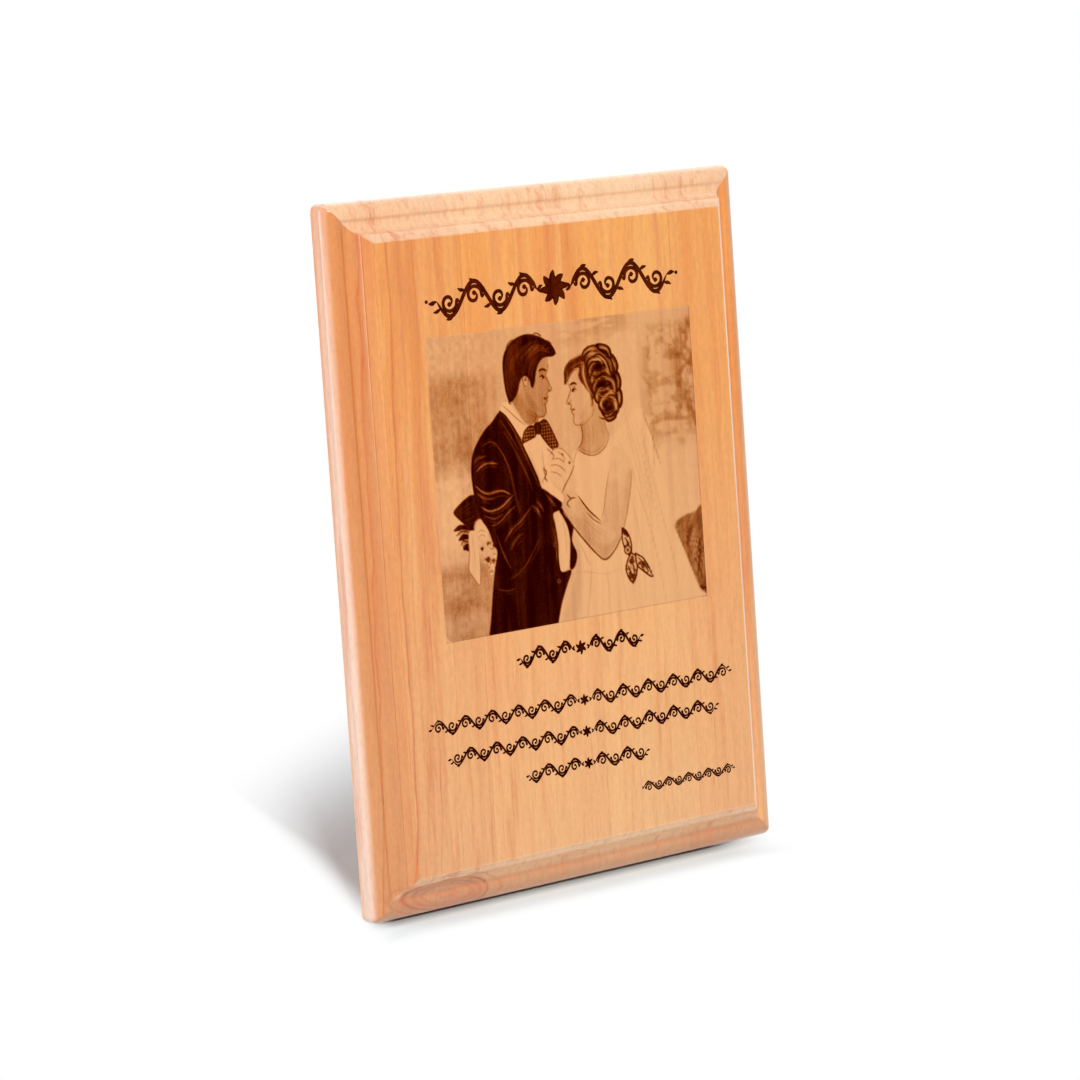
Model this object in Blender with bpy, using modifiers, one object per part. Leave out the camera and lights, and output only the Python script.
"""Solid wooden plaque with a routed ogee edge, standing on a hinged easel strut.

Metres, +Z up. The plaque faces -Y and leans back, and +X is its right-hand side seen from the front.
The origin lies on the table, below the middle of the whole. Every piece of the plaque is drawn as if
the plaque stood upright, with its back on the plane y = 0 and its lower end at z = 0, and an empty
then leans it back. The strut and what moves with it hang on a second empty on the hinge's axis.
"""

import math

import bmesh
import bpy
from mathutils import Matrix, Vector

MM = 0.001

# Panel, glued up from four boards whose glue lines cross mid-height here, at a slight slant.
PANEL_WIDTH = 228.6 * MM
PANEL_HEIGHT = 304.8 * MM
PANEL_THICKNESS = 19.05 * MM
GLUE_LINE_LEFT = -52.4 * MM
GLUE_LINE_MIDDLE = 12.2 * MM
GLUE_LINE_RIGHT = 65.1 * MM
GRAIN_SLANT = math.radians(0.74)
GLUE_GAP = 0.1 * MM
CORNER_RADIUS = 3.5 * MM
BACK_EASE = 0.6 * MM
LEAN = math.radians(9.0)

# Routed edge, from the face out to the side wall: a crisp drop, a crowned shoulder, a quirk,
# a cove, the short flank of the round, and the round.
EDGE_DROP = 0.5 * MM
SHOULDER_WIDTH = 3.3 * MM
SHOULDER_DROP = 2.9 * MM
SHOULDER_CROWN = 0.25 * MM
QUIRK_WIDTH = 0.3 * MM
QUIRK_DROP = 0.3 * MM
COVE_WIDTH = 5.2 * MM
COVE_DROP = 4.9 * MM
COVE_SWEEP = math.radians(64.0)
FLANK_WIDTH = 1.9 * MM
FLANK_RISE = 0.7 * MM
ROUND_WIDTH = 6.8 * MM
ROUND_DROP = 5.1 * MM

# Clearances: between a piece and what it lies on, and round a fastener in its hole.
SEAT = 0.3 * MM
FIT = 0.1 * MM

# Easel strut. OPENING is the angle to the back at which its bevelled top stops it.
STRUT_THICKNESS = 8.0 * MM
STRUT_TOP_WIDTH = 44.0 * MM
STRUT_FOOT_WIDTH = 60.0 * MM
STRUT_RISE = 26.0 * MM
STRUT_CORNER = 7.0 * MM
STRUT_EASE = 0.8 * MM
OPENING = math.radians(16.5)

# Butt hinge between the two.
HINGE_HEIGHT = 190.0 * MM
HINGE_LENGTH = 32.0 * MM
KNUCKLES = 5
KNUCKLE_RADIUS = 2.2 * MM
KNUCKLE_GAP = 0.3 * MM
LEAF_WIDTH = 17.0 * MM
LEAF_THICKNESS = 1.2 * MM
LEAF_CORNER = 2.0 * MM
PIN_RADIUS = 1.05 * MM
PIN_CLEARANCE = 0.08 * MM
PIN_HEAD_RADIUS = 1.7 * MM
PIN_HEAD_THICKNESS = 0.6 * MM

# Countersunk screws, placed from the hinge's axis: two side by side and one lower in the middle.
SCREW_RADIUS = 1.4 * MM
SCREW_HEAD_RADIUS = 2.75 * MM
SCREW_RIM = 0.1 * MM
SCREW_TIP = 2.5 * MM
SCREW_SPREAD = 9.5 * MM
SCREW_UPPER = 7.5 * MM
SCREW_LOWER = 13.0 * MM
PLAQUE_SCREW_LENGTH = 12.0 * MM
STRUT_SCREW_LENGTH = 6.5 * MM
RECESS_SPAN = 3.2 * MM
RECESS_WIDTH = 0.7 * MM
RECESS_DEPTH = 0.7 * MM
HOLE_END = 0.5 * MM

# Sawtooth hanger near the top, and its two nails.
HANGER_LENGTH = 45.0 * MM
HANGER_HEIGHT = 9.0 * MM
HANGER_GAUGE = 1.0 * MM
HANGER_RISE = 1.5 * MM
HANGER_RAMP = 2.5 * MM
HANGER_FROM_TOP = 20.0 * MM
TOOTH_COUNT = 9
TOOTH_PITCH = 2.6 * MM
TOOTH_DEPTH = 1.8 * MM
NAIL_SPACING = 37.0 * MM
NAIL_RADIUS = 0.65 * MM
NAIL_HEAD_RADIUS = 2.0 * MM
NAIL_HEAD_THICKNESS = 0.6 * MM
NAIL_LENGTH = 10.0 * MM

# Rubber bumpers on the lower corners of the back.
BUMPER_RADIUS = 5.0 * MM
BUMPER_THICKNESS = 3.0 * MM
BUMPER_FROM_SIDE = 14.0 * MM
BUMPER_FROM_BOTTOM = 12.0 * MM

MOULDING_WIDTH = SHOULDER_WIDTH + QUIRK_WIDTH + COVE_WIDTH + FLANK_WIDTH + ROUND_WIDTH
MOULDING_DEPTH = EDGE_DROP + SHOULDER_DROP + QUIRK_DROP + COVE_DROP - FLANK_RISE + ROUND_DROP
AXIS_DEPTH = SEAT + KNUCKLE_RADIUS
LEAF_FACE = KNUCKLE_RADIUS - LEAF_THICKNESS
STRUT_FACE = KNUCKLE_RADIUS + SEAT
STRUT_TILT = OPENING - LEAN
HANGER_Z = PANEL_HEIGHT - HANGER_FROM_TOP
SAW_SPAN = TOOTH_COUNT * TOOTH_PITCH

ROUND_STEPS = 12
FLANK_STEPS = 6
COVE_STEPS = 14
CORNER_STEPS = 8
SHOULDER_STEPS = 4
TURN_STEPS = 24

# Cutters reach this far past what they cut, and boards this far past the panel they are trimmed to.
OVERCUT = 12.0 * MM


def leaned(y, z):
    """World Y and Z of a point of the upright drawing, before the whole is centred."""
    world_y = y * math.cos(LEAN) + z * math.sin(LEAN)
    world_z = z * math.cos(LEAN) - y * math.sin(LEAN) - BACK_EASE * math.sin(LEAN)
    return world_y, world_z


AXIS_Y, AXIS_Z = leaned(AXIS_DEPTH, HINGE_HEIGHT)
STRUT_REACH = AXIS_Z / math.cos(STRUT_TILT)


def centring():
    """Shift along Y that puts the origin midway between the face's lower edge and the heel."""
    front = leaned(-PANEL_THICKNESS, MOULDING_WIDTH)[0]
    back = STRUT_FACE + STRUT_THICKNESS
    heel = AXIS_Y + (back + AXIS_Z * math.sin(STRUT_TILT)) / math.cos(STRUT_TILT)
    top = leaned(0.0, PANEL_HEIGHT - BACK_EASE)[0]
    return -(front + max(heel, top)) / 2


def linear(red, green, blue):
    """Linear colour of an sRGB triple from 0 to 255."""
    values = []
    for value in (red, green, blue):
        share = value / 255
        if share <= 0.04045:
            values.append(share / 12.92)
        else:
            values.append(((share + 0.055) / 1.055) ** 2.4)
    return (*values, 1.0)


def principled(name, colour, roughness, metallic=0.0):
    material = bpy.data.materials.new(name)
    material.use_nodes = True
    material.diffuse_color = colour
    shader = material.node_tree.nodes["Principled BSDF"]
    shader.inputs["Base Color"].default_value = colour
    shader.inputs["Roughness"].default_value = roughness
    shader.inputs["Metallic"].default_value = metallic
    return material


def add(mesh, name, collection, parent=None, material=None):
    """Object of a mesh in a collection, hung on its parent."""
    obj = bpy.data.objects.new(name, mesh)
    collection.objects.link(obj)
    obj.parent = parent
    if material:
        mesh.materials.clear()
        mesh.materials.append(material)
    return obj


def smooth(mesh):
    mesh.shade_smooth()
    mesh.set_sharp_from_angle(angle=math.radians(30))


def box_mesh(name, low, high):
    """Box between two opposite corners."""
    low = Vector(low)
    high = Vector(high)
    bm = bmesh.new()
    matrix = Matrix.Translation((low + high) / 2) @ Matrix.Diagonal((*(high - low), 1.0))
    bmesh.ops.create_cube(bm, size=1.0, matrix=matrix)
    mesh = bpy.data.meshes.new(name)
    bm.to_mesh(mesh)
    bm.free()
    return mesh


def rods_mesh(name, rods, steps=16):
    """Round rods along Y, each given as x, z, radius at its two ends and the ends' y."""
    bm = bmesh.new()
    for x, z, start_radius, end_radius, start, end in rods:
        matrix = Matrix.Translation((x, (start + end) / 2, z)) @ Matrix.Rotation(math.radians(-90), 4, "X")
        bmesh.ops.create_cone(
            bm, cap_ends=True, segments=steps, radius1=start_radius, radius2=end_radius,
            depth=end - start, matrix=matrix)
    mesh = bpy.data.meshes.new(name)
    bm.to_mesh(mesh)
    bm.free()
    return mesh


def rounded(outline):
    """Flat outline whose corners (x, y, radius) are turned into arcs."""
    points = []
    for index, (x, y, radius) in enumerate(outline):
        corner = Vector((x, y))
        if radius <= 0:
            points.append(corner)
            continue
        before = Vector(outline[index - 1][:2])
        after = Vector(outline[(index + 1) % len(outline)][:2])
        to_before = (before - corner).normalized()
        to_after = (after - corner).normalized()
        half = to_before.angle(to_after) / 2
        middle = corner + (to_before + to_after).normalized() * radius / math.sin(half)
        start = corner + to_before * radius / math.tan(half) - middle
        end = corner + to_after * radius / math.tan(half) - middle
        turn = start.angle_signed(end)
        for step in range(CORNER_STEPS + 1):
            spin = Matrix.Rotation(-turn * step / CORNER_STEPS, 2)
            points.append(middle + spin @ start)
    return points


def extruded(name, outline, low, high, across):
    """Solid of a flat outline between two heights along the axis across.

    The outline is (y, z) across X, (x, z) across Y and (x, y) across Z.
    """
    curve = bpy.data.curves.new(name, "CURVE")
    curve.dimensions = "2D"
    curve.fill_mode = "BOTH"
    curve.extrude = (high - low) / 2
    spline = curve.splines.new("POLY")
    spline.points.add(len(outline) - 1)
    for point, place in zip(spline.points, outline):
        point.co = (place[0], place[1], 0.0, 1.0)
    spline.use_cyclic_u = True
    drawn = bpy.data.objects.new(name, curve)
    bpy.context.scene.collection.objects.link(drawn)
    bpy.context.view_layer.update()
    mesh = bpy.data.meshes.new_from_object(drawn.evaluated_get(bpy.context.evaluated_depsgraph_get()))
    bpy.data.objects.remove(drawn)
    bpy.data.curves.remove(curve)
    middle = (low + high) / 2
    turns = {
        "X": Matrix(((0, 0, 1, middle), (1, 0, 0, 0), (0, 1, 0, 0), (0, 0, 0, 1))),
        "Y": Matrix(((1, 0, 0, 0), (0, 0, -1, middle), (0, 1, 0, 0), (0, 0, 0, 1))),
        "Z": Matrix.Translation((0, 0, middle)),
    }
    bm = bmesh.new()
    bm.from_mesh(mesh)
    bmesh.ops.remove_doubles(bm, verts=bm.verts, dist=1e-7)
    bmesh.ops.transform(bm, matrix=turns[across], verts=bm.verts)
    bmesh.ops.recalc_face_normals(bm, faces=bm.faces)
    bm.to_mesh(mesh)
    bm.free()
    mesh.name = name
    return mesh


def turned(name, profile, collection, steps=TURN_STEPS):
    """Solid turned about local Z from a profile of (radius, height) that runs from the top down."""
    mesh = bpy.data.meshes.new(name)
    bm = bmesh.new()
    verts = [bm.verts.new((radius, 0.0, height)) for radius, height in profile]
    for above, below in zip(verts, verts[1:]):
        bm.edges.new((above, below))
    bm.to_mesh(mesh)
    bm.free()
    obj = add(mesh, name, collection)
    screw = obj.modifiers.new("turn", "SCREW")
    screw.steps = steps
    screw.render_steps = steps
    screw.use_merge_vertices = True
    screw.merge_threshold = 1e-6
    return obj


def combine(obj, other, operation):
    """Boolean of an object with a cutter or guide, which is then only shown as wire."""
    other.hide_render = True
    other.display_type = "WIRE"
    modifier = obj.modifiers.new(other.name, "BOOLEAN")
    modifier.operation = operation
    modifier.solver = "EXACT"
    modifier.object = other


def bake(obj):
    """Turn the object's modifiers into its mesh, shaded smooth but for its real edges."""
    bpy.context.view_layer.update()
    mesh = bpy.data.meshes.new_from_object(obj.evaluated_get(bpy.context.evaluated_depsgraph_get()))
    mesh.name = obj.name
    obj.modifiers.clear()
    obj.data = mesh
    smooth(mesh)
    return mesh


def moulding_profile():
    """Points (inset from the side wall, depth behind the face) of the routed edge, wall to face."""
    points = []
    radius = (ROUND_WIDTH ** 2 + ROUND_DROP ** 2) / (2 * ROUND_DROP)
    sweep = math.atan2(ROUND_WIDTH, radius - ROUND_DROP)
    crest = MOULDING_DEPTH - ROUND_DROP
    for step in range(ROUND_STEPS + 1):
        angle = sweep * (1 - step / ROUND_STEPS)
        points.append((ROUND_WIDTH - radius * math.sin(angle), crest + radius * (1 - math.cos(angle))))
    for step in range(1, FLANK_STEPS + 1):
        share = step / FLANK_STEPS
        points.append((ROUND_WIDTH + FLANK_WIDTH * share, crest + FLANK_RISE * (1 - math.cos(math.pi * share)) / 2))
    hollow = crest + FLANK_RISE
    valley = ROUND_WIDTH + FLANK_WIDTH
    for step in range(1, COVE_STEPS + 1):
        angle = COVE_SWEEP * step / COVE_STEPS
        points.append((valley + COVE_WIDTH * math.sin(angle) / math.sin(COVE_SWEEP),
                       hollow - COVE_DROP * (1 - math.cos(angle)) / (1 - math.cos(COVE_SWEEP))))
    ledge = valley + COVE_WIDTH + QUIRK_WIDTH
    points.append((ledge, hollow - COVE_DROP))
    foot = hollow - COVE_DROP - QUIRK_DROP
    for step in range(SHOULDER_STEPS + 1):
        share = step / SHOULDER_STEPS
        crown = 4 * SHOULDER_CROWN * share * (1 - share)
        points.append((ledge + SHOULDER_WIDTH * share, foot - SHOULDER_DROP * share - crown))
    points.append((MOULDING_WIDTH, 0.0))
    return points


def outline_ring(bm, inset, y):
    """Vertices of the panel's outline set in by inset, as one list for each corner.

    The corners' radius shrinks with the inset, and past it each corner is one sharp point.
    """
    corners = []
    for quarter in range(4):
        side_x = (1, -1, -1, 1)[quarter]
        side_z = (1, 1, -1, -1)[quarter]
        radius = CORNER_RADIUS - inset
        if radius > 0:
            middle_x = side_x * (PANEL_WIDTH / 2 - CORNER_RADIUS)
            middle_z = PANEL_HEIGHT / 2 + side_z * (PANEL_HEIGHT / 2 - CORNER_RADIUS)
            corner = []
            for step in range(CORNER_STEPS + 1):
                angle = math.pi / 2 * (quarter + step / CORNER_STEPS)
                x = middle_x + radius * math.cos(angle)
                z = middle_z + radius * math.sin(angle)
                corner.append(bm.verts.new((x, y, z)))
        else:
            x = side_x * (PANEL_WIDTH / 2 - inset)
            z = PANEL_HEIGHT / 2 + side_z * (PANEL_HEIGHT / 2 - inset)
            corner = [bm.verts.new((x, y, z))]
        corners.append(corner)
    return corners


def routed_panel(collection, parent):
    """The whole panel: its outline lofted from the back through the routed edge to the face."""
    bm = bmesh.new()
    rings = [outline_ring(bm, BACK_EASE, 0.0), outline_ring(bm, 0.0, -BACK_EASE)]
    for inset, depth in moulding_profile():
        rings.append(outline_ring(bm, inset, depth - PANEL_THICKNESS))
    for near, far in zip(rings, rings[1:]):
        for quarter in range(4):
            start = near[quarter]
            end = far[quarter]
            for step in range(len(start) - 1):
                if len(end) > 1:
                    bm.faces.new((start[step], start[step + 1], end[step + 1], end[step]))
                else:
                    bm.faces.new((start[step], start[step + 1], end[0]))
            following = (quarter + 1) % 4
            bm.faces.new((start[-1], near[following][0], far[following][0], end[-1]))
    bm.faces.new([vert for corner in rings[0] for vert in corner])
    bm.faces.new([vert for corner in rings[-1] for vert in corner])
    bmesh.ops.recalc_face_normals(bm, faces=bm.faces)
    mesh = bpy.data.meshes.new("routed_panel")
    bm.to_mesh(mesh)
    bm.free()
    return add(mesh, "routed_panel", collection, parent)


def screw_places():
    """The screws' (x, z) from the hinge's axis."""
    return ((-SCREW_SPREAD, -SCREW_UPPER), (SCREW_SPREAD, -SCREW_UPPER), (0.0, -SCREW_LOWER))


def back_holes(collection, parent):
    """Pilot holes in the back for the hinge's screws and the hanger's nails."""
    rods = []
    tip = SEAT + LEAF_THICKNESS - PLAQUE_SCREW_LENGTH - HOLE_END
    for x, z in screw_places():
        radius = SCREW_RADIUS + FIT
        rods.append((x, HINGE_HEIGHT + z, radius, radius, tip, SEAT))
    tip = SEAT + HANGER_GAUGE + FIT - NAIL_LENGTH - HOLE_END
    for side in (-1, 1):
        radius = NAIL_RADIUS + FIT
        rods.append((side * NAIL_SPACING / 2, HANGER_Z, radius, radius, tip, SEAT))
    return add(rods_mesh("back_holes", rods), "back_holes", collection, parent)


def staves(collection, cutters, parent, material):
    """The four boards, each a straight board trimmed to the routed panel."""
    panel = routed_panel(cutters, parent)
    holes = back_holes(cutters, parent)
    edge = PANEL_WIDTH / 2 + OVERCUT
    lines = (-edge, GLUE_LINE_LEFT, GLUE_LINE_MIDDLE, GLUE_LINE_RIGHT, edge)
    for number, (left, right) in enumerate(zip(lines, lines[1:]), start=1):
        name = f"stave_{number}"
        half_width = ((right - left) * math.cos(GRAIN_SLANT) - GLUE_GAP) / 2
        half_thickness = PANEL_THICKNESS / 2 + OVERCUT
        half_height = PANEL_HEIGHT / 2 + OVERCUT
        low = (-half_width, -half_thickness, -half_height)
        high = (half_width, half_thickness, half_height)
        board = add(box_mesh(name, low, high), name, collection, parent, material)
        board.location = ((left + right) / 2, -PANEL_THICKNESS / 2, PANEL_HEIGHT / 2)
        board.rotation_euler.y = GRAIN_SLANT
        combine(board, panel, "INTERSECT")
        combine(board, holes, "DIFFERENCE")
        bake(board)


def easel_strut(collection, cutters, lean, hinge, material):
    """Tapered leg with a bevelled top that meets the back and a foot cut flat on the table."""
    run = STRUT_RISE + STRUT_REACH
    flare = (STRUT_FOOT_WIDTH - STRUT_TOP_WIDTH) / 2 / run
    half_top = STRUT_TOP_WIDTH / 2
    half_foot = half_top + flare * (run + OVERCUT)
    foot = -STRUT_REACH - OVERCUT
    outline = rounded((
        (-half_foot, foot, 0.0),
        (half_foot, foot, 0.0),
        (half_top, STRUT_RISE, STRUT_CORNER),
        (-half_top, STRUT_RISE, STRUT_CORNER),
    ))
    mesh = extruded("easel_strut", outline, STRUT_FACE, STRUT_FACE + STRUT_THICKNESS, "Y")
    strut = add(mesh, "easel_strut", collection, hinge, material)
    ease = strut.modifiers.new("ease", "BEVEL")
    ease.width = STRUT_EASE
    ease.segments = 3
    ease.limit_method = "ANGLE"
    ease.angle_limit = math.radians(40)

    reach = STRUT_FOOT_WIDTH + OVERCUT
    low = (-reach, -STRUT_RISE - OVERCUT, HINGE_HEIGHT)
    high = (reach, SEAT, HINGE_HEIGHT + STRUT_RISE + OVERCUT)
    stop = add(box_mesh("stop_bevel", low, high), "stop_bevel", cutters, lean)
    combine(strut, stop, "DIFFERENCE")

    span = STRUT_REACH + OVERCUT
    floor = add(box_mesh("foot_plane", (-reach, -span, -span), (reach, span, 0.0)), "foot_plane", cutters)
    combine(strut, floor, "DIFFERENCE")

    rods = []
    tip = LEAF_FACE + STRUT_SCREW_LENGTH + HOLE_END
    for x, z in screw_places():
        radius = SCREW_RADIUS + FIT
        rods.append((x, z, radius, radius, STRUT_FACE - SEAT, tip))
    holes = add(rods_mesh("strut_holes", rods), "strut_holes", cutters, hinge)
    combine(strut, holes, "DIFFERENCE")
    bake(strut)


def hinge_leaf(name, side, kept, collection, cutters, parent, material):
    """Leaf rolled into its knuckles: side is -1 on the plaque and 1 on the strut."""
    half = HINGE_LENGTH / 2
    wrap = 2 * math.pi - math.acos(LEAF_FACE / KNUCKLE_RADIUS)
    section = [(side * KNUCKLE_RADIUS, -LEAF_WIDTH - SEAT)]
    for step in range(TURN_STEPS + 1):
        angle = wrap * step / TURN_STEPS
        section.append((side * KNUCKLE_RADIUS * math.cos(angle), KNUCKLE_RADIUS * math.sin(angle)))
    section.append((side * LEAF_FACE, -LEAF_WIDTH - SEAT))
    leaf = add(extruded(name, section, -half - SEAT, half + SEAT, "X"), name, collection, parent, material)

    pitch = HINGE_LENGTH / KNUCKLES
    clear = KNUCKLE_RADIUS + SEAT
    for number in range(KNUCKLES):
        if number % 2 == kept:
            continue
        start = -half + number * pitch - KNUCKLE_GAP / 2
        end = start + pitch + KNUCKLE_GAP
        if number == 0:
            start -= OVERCUT
        if number == KNUCKLES - 1:
            end += OVERCUT
        slot = box_mesh(f"{name}_slot", (start, -2 * clear, -clear), (end, 2 * clear, 2 * clear))
        combine(leaf, add(slot, f"{name}_slot_{number + 1}", cutters, parent), "DIFFERENCE")

    bore = turned(f"{name}_bore", (
        (0.0, half + OVERCUT),
        (PIN_RADIUS + PIN_CLEARANCE, half + OVERCUT),
        (PIN_RADIUS + PIN_CLEARANCE, -half - OVERCUT),
        (0.0, -half - OVERCUT),
    ), cutters)
    bore.parent = parent
    bore.rotation_euler.y = math.radians(90)
    combine(leaf, bore, "DIFFERENCE")

    rods = []
    wide = SCREW_HEAD_RADIUS + SCREW_RIM + FIT
    for x, z in screw_places():
        near = LEAF_FACE - SEAT
        far = KNUCKLE_RADIUS + SEAT
        if side > 0:
            rods.append((x, z, wide + SEAT, wide - LEAF_THICKNESS - SEAT, near, far))
        else:
            rods.append((x, z, wide - LEAF_THICKNESS - SEAT, wide + SEAT, -far, -near))
    sinks = add(rods_mesh(f"{name}_sinks", rods, TURN_STEPS), f"{name}_sinks", cutters, parent)
    combine(leaf, sinks, "DIFFERENCE")

    corner = LEAF_CORNER
    frame = rounded((
        (-half, -LEAF_WIDTH, corner),
        (half, -LEAF_WIDTH, corner),
        (half, KNUCKLE_RADIUS + SEAT, 0.0),
        (-half, KNUCKLE_RADIUS + SEAT, 0.0),
    ))
    trim = extruded(f"{name}_corners", frame, -2 * clear, 2 * clear, "Y")
    combine(leaf, add(trim, f"{name}_corners", cutters, parent), "INTERSECT")
    bake(leaf)


def hinge_pin(collection, parent, material):
    """Pin with a peened head at each end of the barrel."""
    inner = HINGE_LENGTH / 2 + FIT
    outer = inner + PIN_HEAD_THICKNESS
    pin = turned("hinge_pin", (
        (0.0, outer),
        (PIN_HEAD_RADIUS * 0.6, outer - PIN_HEAD_THICKNESS * 0.15),
        (PIN_HEAD_RADIUS, outer - PIN_HEAD_THICKNESS * 0.6),
        (PIN_HEAD_RADIUS, inner),
        (PIN_RADIUS, inner),
        (PIN_RADIUS, -inner),
        (PIN_HEAD_RADIUS, -inner),
        (PIN_HEAD_RADIUS, PIN_HEAD_THICKNESS * 0.6 - outer),
        (PIN_HEAD_RADIUS * 0.6, PIN_HEAD_THICKNESS * 0.15 - outer),
        (0.0, -outer),
    ), collection)
    pin.parent = parent
    pin.rotation_euler.y = math.radians(90)
    bake(pin)
    pin.data.materials.append(material)


def screw_mesh(name, length, cutters, material):
    """Countersunk screw along Z with the top of its head at the origin and a cross recess in it."""
    cone = SCREW_HEAD_RADIUS - SCREW_RADIUS
    screw = turned(name, (
        (0.0, 0.0),
        (SCREW_HEAD_RADIUS, 0.0),
        (SCREW_HEAD_RADIUS, -SCREW_RIM),
        (SCREW_RADIUS, -SCREW_RIM - cone),
        (SCREW_RADIUS, SCREW_TIP - length),
        (0.0, -length),
    ), cutters, 16)
    long = RECESS_SPAN / 2
    wide = RECESS_WIDTH / 2
    cross = []
    for quarter in range(4):
        spin = Matrix.Rotation(math.pi / 2 * quarter, 2)
        for point in ((wide, wide), (wide, long), (-wide, long)):
            cross.append(spin @ Vector(point))
    recess = add(extruded(f"{name}_recess", cross, -RECESS_DEPTH, SEAT, "Z"), f"{name}_recess", cutters)
    combine(screw, recess, "DIFFERENCE")
    mesh = bake(screw)
    bpy.data.objects.remove(screw)
    mesh.materials.append(material)
    return mesh


def screws(name, length, side, collection, cutters, parent, material):
    """The three screws of one leaf, their heads sunk flush in it."""
    mesh = screw_mesh(name, length, cutters, material)
    for number, (x, z) in enumerate(screw_places(), start=1):
        screw = bpy.data.objects.new(f"{name}_{number}", mesh)
        collection.objects.link(screw)
        screw.parent = parent
        screw.location = (x, side * LEAF_FACE, z)
        screw.rotation_euler.x = side * math.radians(90)


def sawtooth_hanger(collection, cutters, parent, material):
    """Steel strip, flat at its ends and raised between them, with teeth along its lower edge."""
    half = HANGER_LENGTH / 2
    raised = SAW_SPAN / 2 + TOOTH_PITCH / 2
    bends = (
        (-half, SEAT),
        (-raised - HANGER_RAMP, SEAT),
        (-raised, SEAT + HANGER_RISE),
        (raised, SEAT + HANGER_RISE),
        (raised + HANGER_RAMP, SEAT),
        (half, SEAT),
    )
    outline = list(bends)
    for x, y in reversed(bends):
        outline.append((x, y + HANGER_GAUGE))
    bottom = HANGER_Z - HANGER_HEIGHT / 2
    top = HANGER_Z + HANGER_HEIGHT / 2
    strip = extruded("sawtooth_hanger", outline, bottom, top, "Z")
    hanger = add(strip, "sawtooth_hanger", collection, parent, material)

    teeth = [(-SAW_SPAN / 2, bottom - OVERCUT)]
    for number in range(TOOTH_COUNT):
        start = -SAW_SPAN / 2 + number * TOOTH_PITCH
        teeth.append((start, bottom + FIT))
        teeth.append((start + TOOTH_PITCH / 2, bottom + TOOTH_DEPTH))
    teeth.append((SAW_SPAN / 2, bottom + FIT))
    teeth.append((SAW_SPAN / 2, bottom - OVERCUT))
    depth = SEAT + HANGER_RISE + HANGER_GAUGE + OVERCUT
    saw = add(extruded("saw_teeth", teeth, -OVERCUT, depth, "Y"), "saw_teeth", cutters, parent)
    combine(hanger, saw, "DIFFERENCE")

    rods = []
    for side in (-1, 1):
        radius = NAIL_RADIUS + FIT
        rods.append((side * NAIL_SPACING / 2, HANGER_Z, radius, radius, -SEAT, depth))
    holes = add(rods_mesh("hanger_holes", rods), "hanger_holes", cutters, parent)
    combine(hanger, holes, "DIFFERENCE")
    bake(hanger)


def hanger_nails(collection, parent, material):
    for number, side in enumerate((-1, 1), start=1):
        nail = turned(f"hanger_nail_{number}", (
            (0.0, NAIL_HEAD_THICKNESS),
            (NAIL_HEAD_RADIUS * 0.8, NAIL_HEAD_THICKNESS),
            (NAIL_HEAD_RADIUS, NAIL_HEAD_THICKNESS * 0.6),
            (NAIL_HEAD_RADIUS, 0.0),
            (NAIL_RADIUS, 0.0),
            (NAIL_RADIUS, 2 * NAIL_RADIUS - NAIL_LENGTH),
            (0.0, -NAIL_LENGTH),
        ), collection, 16)
        nail.parent = parent
        nail.location = (side * NAIL_SPACING / 2, SEAT + HANGER_GAUGE + FIT, HANGER_Z)
        nail.rotation_euler.x = math.radians(-90)
        bake(nail)
        nail.data.materials.append(material)


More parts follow.
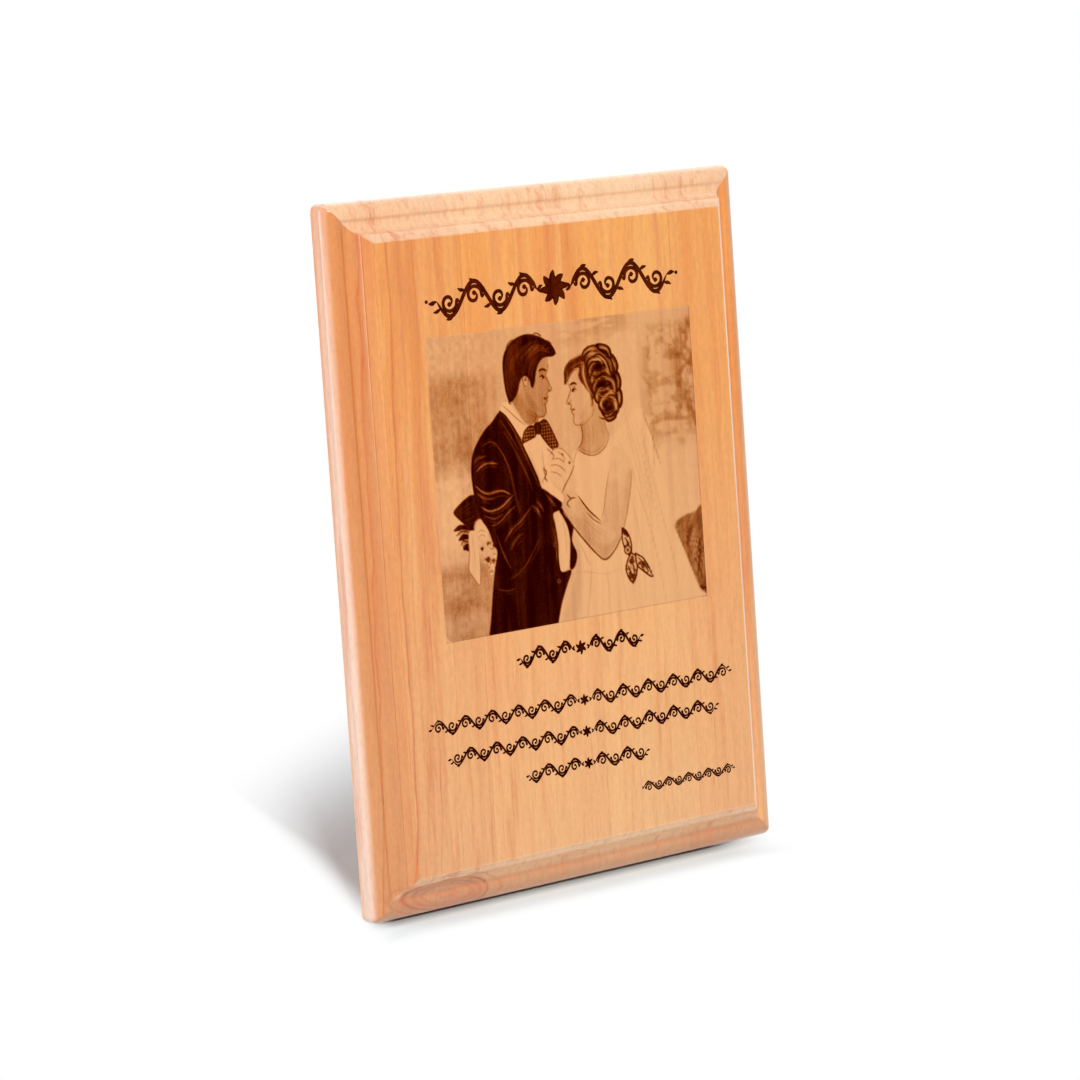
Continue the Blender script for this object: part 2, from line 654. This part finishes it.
def bumpers(collection, parent, material):
    """Soft dots with a rounded rim, stuck on the back."""
    rim = BUMPER_THICKNESS / 2
    profile = [(0.0, BUMPER_THICKNESS)]
    for step in range(CORNER_STEPS + 1):
        angle = math.pi / 2 * (1 - step / CORNER_STEPS)
        radius = BUMPER_RADIUS - rim + rim * math.cos(angle)
        profile.append((radius, BUMPER_THICKNESS - rim + rim * math.sin(angle)))
    profile.append((BUMPER_RADIUS, 0.0))
    profile.append((0.0, 0.0))
    for name, side in (("bumper_left", -1), ("bumper_right", 1)):
        bumper = turned(name, profile, collection)
        bumper.parent = parent
        bumper.location = (side * (PANEL_WIDTH / 2 - BUMPER_FROM_SIDE), SEAT, BUMPER_FROM_BOTTOM)
        bumper.rotation_euler.x = math.radians(-90)
        bake(bumper)
        bumper.data.materials.append(material)


def main():
    for obj in list(bpy.data.objects):
        bpy.data.objects.remove(obj)
    collection = bpy.data.collections.new("engraved_plaque")
    cutters = bpy.data.collections.new("cutters")
    bpy.context.scene.collection.children.link(collection)
    bpy.context.scene.collection.children.link(cutters)

    alder = principled("alder", linear(233, 168, 112), 0.42)
    strut_wood = principled("strut_wood", linear(226, 172, 122), 0.5)
    brass = principled("brass", linear(212, 175, 98), 0.3, 1.0)
    steel = principled("steel", linear(180, 182, 184), 0.35, 1.0)
    rubber = principled("rubber", linear(60, 58, 56), 0.85)

    lean = bpy.data.objects.new("lean", None)
    collection.objects.link(lean)
    lean.location = (0.0, centring(), -BACK_EASE * math.sin(LEAN))
    lean.rotation_euler.x = -LEAN

    fixed_axis = bpy.data.objects.new("hinge_axis", None)
    collection.objects.link(fixed_axis)
    fixed_axis.parent = lean
    fixed_axis.location = (0.0, AXIS_DEPTH, HINGE_HEIGHT)

    swing = bpy.data.objects.new("easel_swing", None)
    collection.objects.link(swing)
    swing.parent = lean
    swing.location = fixed_axis.location
    swing.rotation_euler.x = OPENING

    staves(collection, cutters, lean, alder)
    easel_strut(collection, cutters, lean, swing, strut_wood)
    hinge_leaf("hinge_plaque_leaf", -1, 0, collection, cutters, fixed_axis, brass)
    hinge_leaf("hinge_strut_leaf", 1, 1, collection, cutters, swing, brass)
    hinge_pin(collection, fixed_axis, brass)
    screws("plaque_screw", PLAQUE_SCREW_LENGTH, -1, collection, cutters, fixed_axis, brass)
    screws("strut_screw", STRUT_SCREW_LENGTH, 1, collection, cutters, swing, brass)
    sawtooth_hanger(collection, cutters, lean, steel)
    hanger_nails(collection, lean, steel)
    bumpers(collection, lean, rubber)


main()
